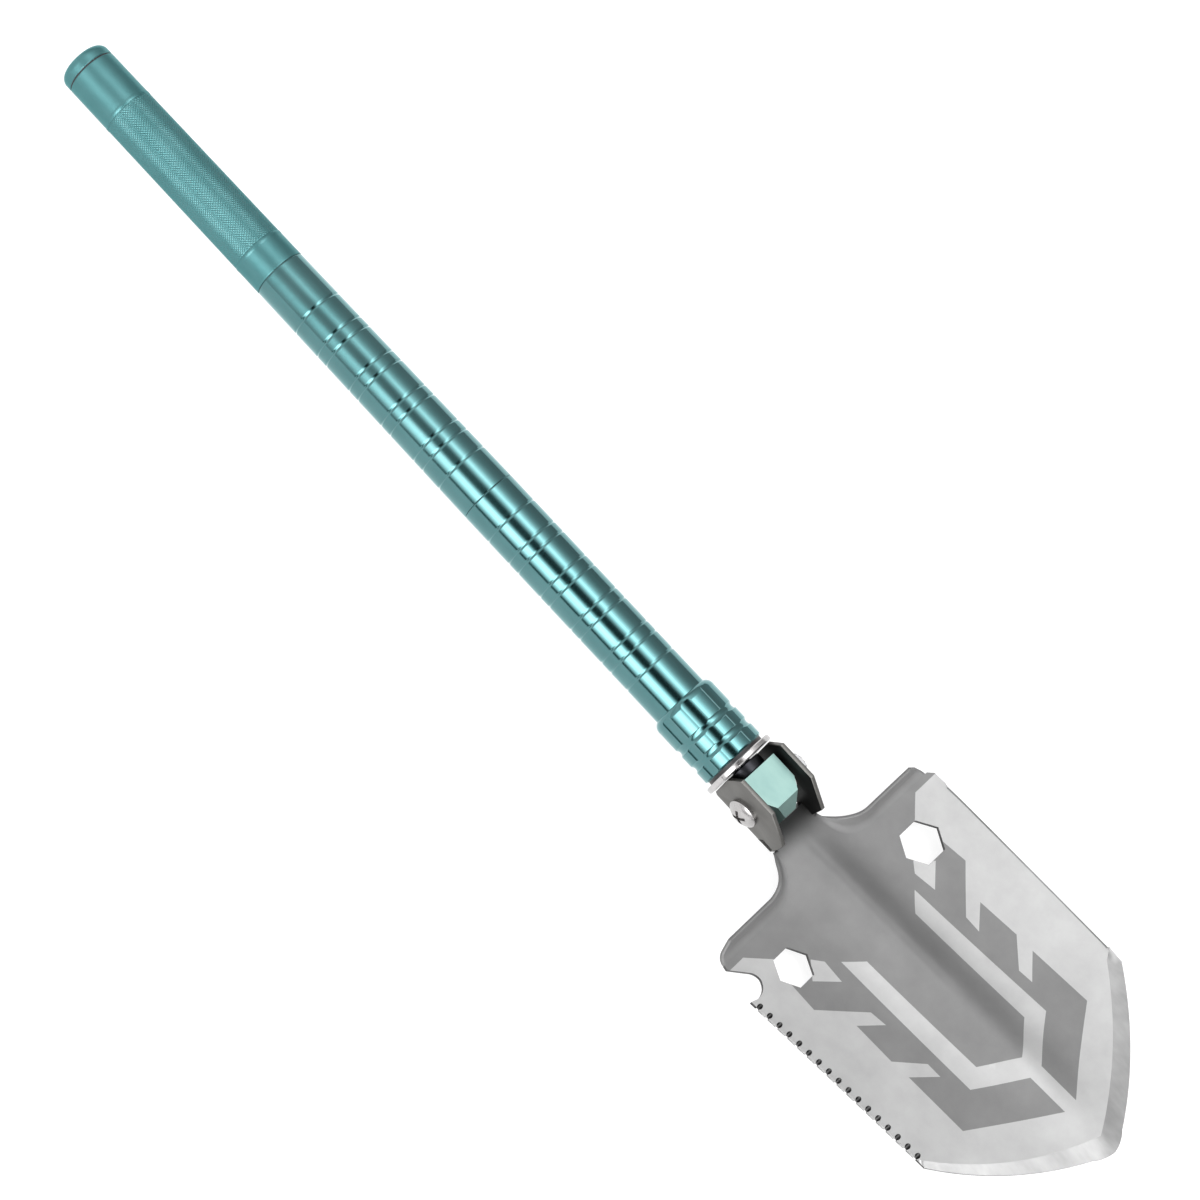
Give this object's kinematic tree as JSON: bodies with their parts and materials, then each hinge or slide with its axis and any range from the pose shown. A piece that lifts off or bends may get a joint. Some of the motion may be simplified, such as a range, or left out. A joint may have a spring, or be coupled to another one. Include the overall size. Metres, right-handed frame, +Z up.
{
  "type": "camp shovel",
  "caption": "Folding camp shovel: pointed saw-edged steel blade with spanner holes, hinged head with a screw collar lock, and a handle of screwed tube sections with a knurled grip.",
  "frame": {"origin": "centre of the bounding box's base, under the handle's axis, with the shovel straight", "axes": "+X along the handle towards the blade's point, +Y along the hinge bolt towards its nut, +Z up out of the blade's front face"},
  "size_m": [0.7714, 0.1664, 0.0418],
  "materials": {
    "blade_steel": "satin stainless, etched pattern, ground edges",
    "bright_steel": "polished",
    "plain_steel": "satin",
    "black_steel": "black oxide",
    "teal_anodised": "gloss teal anodised",
    "pale_anodised": "satin pale teal anodised",
    "plain_aluminium": "machined",
    "black_rubber": "matte",
    "black_plastic": "matte",
    "white_plastic": "matte"
  },
  "bodies": {
    "handle_lower": {"hinge_block": "pale_anodised", "hinge_stud": "black_steel", "stud_plug": "plain_aluminium", "stud_nut": "plain_steel", "lower_tube": "teal_anodised", "lower_coupler": "plain_aluminium"},
    "blade": {"blade": "blade_steel", "hinge_bolt": "bright_steel", "hinge_nut": "plain_steel", "nut_washer": "plain_steel", "spacer_washers": "white_plastic"},
    "lock_ring": {"lock_ring": "bright_steel", "thrust_washer": "black_plastic"},
    "lock_collar": {"lock_collar": "teal_anodised"},
    "lower_seal": {"lower_joint_seal": "black_rubber"},
    "middle_section": {"middle_tube": "teal_anodised", "middle_socket": "plain_aluminium", "upper_coupler": "plain_aluminium"},
    "upper_seal": {"upper_joint_seal": "black_rubber"},
    "grip_section": {"grip_tube": "teal_anodised", "grip_socket": "plain_aluminium", "cap_socket": "plain_aluminium"},
    "cap_seal": {"cap_seal": "black_rubber"},
    "end_cap": {"end_cap": "teal_anodised"}
  },
  "joints": [
    {"name": "blade_fold", "type": "hinge", "parent": "handle_lower", "child": "blade", "pos_m": [0.1367, 0, 0.0209], "axis": [0, -1, 0], "range_deg": [0, 135]},
    {"name": "lock_slide", "type": "slide", "parent": "handle_lower", "child": "lock_ring", "axis": [-1, 0, 0], "range_m": [0, 0.0165]},
    {"name": "collar_turn", "type": "hinge", "parent": "lock_ring", "child": "lock_collar", "pos_m": [0.0967, 0, 0.0209], "axis": [-1, 0, 0], "range_deg": [0, 980]},
    {"name": "middle_slide", "type": "slide", "parent": "handle_lower", "child": "lower_seal", "axis": [-1, 0, 0], "range_m": [0, 0.015]},
    {"name": "middle_turn", "type": "hinge", "parent": "lower_seal", "child": "middle_section", "pos_m": [-0.071, 0, 0.0209], "axis": [-1, 0, 0], "range_deg": [0, 3610]},
    {"name": "grip_slide", "type": "slide", "parent": "middle_section", "child": "upper_seal", "axis": [-1, 0, 0], "range_m": [0, 0.015]},
    {"name": "grip_turn", "type": "hinge", "parent": "upper_seal", "child": "grip_section", "pos_m": [-0.2302, 0, 0.0209], "axis": [-1, 0, 0], "range_deg": [0, 3610]},
    {"name": "cap_slide", "type": "slide", "parent": "grip_section", "child": "cap_seal", "axis": [-1, 0, 0], "range_m": [0, 0.015]},
    {"name": "cap_turn", "type": "hinge", "parent": "cap_seal", "child": "end_cap", "pos_m": [-0.3767, 0, 0.0209], "axis": [-1, 0, 0], "range_deg": [0, 3610]}
  ],
  "couplings": [
    {"joint": "lock_slide", "follows": "blade_fold", "m_per_rad": 0.0068755},
    {"joint": "collar_turn", "follows": "blade_fold", "ratio": 7.2},
    {"joint": "middle_turn", "follows": "middle_slide", "rad_per_m": 4188.8},
    {"joint": "grip_turn", "follows": "grip_slide", "rad_per_m": 4188.8},
    {"joint": "cap_turn", "follows": "cap_slide", "rad_per_m": 4188.8}
  ]
}
